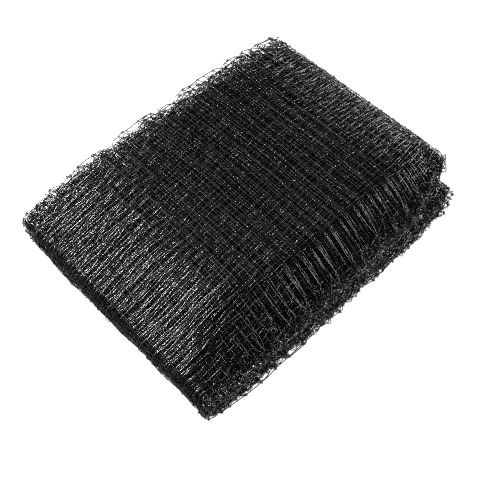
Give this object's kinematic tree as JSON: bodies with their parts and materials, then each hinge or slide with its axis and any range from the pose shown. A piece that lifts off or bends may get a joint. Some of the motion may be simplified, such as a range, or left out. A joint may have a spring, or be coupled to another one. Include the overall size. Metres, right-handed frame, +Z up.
{
  "type": "folded mesh fencing",
  "caption": "Black plastic mesh fence net pleated into a strip, folded back and forth and bent double into a flat pack that lies on its underside.",
  "frame": {"origin": "on the surface that the folded net lies on, under the middle of its box", "axes": "+X along the strip from the bend to the open end with its two lobes, +Y across the strip to its straight far side, +Z up"},
  "size_m": [0.3674, 0.3046, 0.0864],
  "materials": {
    "net_black": "semi-gloss extruded black plastic strands"
  },
  "bodies": {
    "root": {"folded_net": "net_black"}
  },
  "joints": []
}
